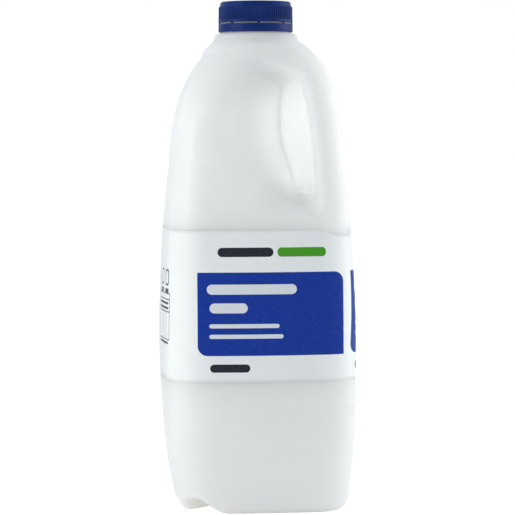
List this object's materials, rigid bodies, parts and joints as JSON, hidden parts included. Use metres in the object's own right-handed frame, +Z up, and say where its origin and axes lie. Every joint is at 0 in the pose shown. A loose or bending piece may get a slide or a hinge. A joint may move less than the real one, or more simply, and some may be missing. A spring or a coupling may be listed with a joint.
{
  "type": "plastic milk jug",
  "caption": "Square blow-moulded plastic milk jug with a corner handle, a ribbed screw cap over a tamper band, and a printed film label.",
  "frame": {"origin": "centre of the jug's footprint, on the floor it stands on", "axes": "+Z up along the neck, +X towards the handle"},
  "size_m": [0.1298, 0.1298, 0.2775],
  "materials": {
    "white_plastic": "translucent white, satin",
    "label_film": "clear film with a blue printed panel, satin",
    "navy_plastic": "navy blue, satin, fine upright ribs"
  },
  "bodies": {
    "root": {"jug": "white_plastic", "label": "label_film", "cap": "navy_plastic"}
  },
  "joints": []
}
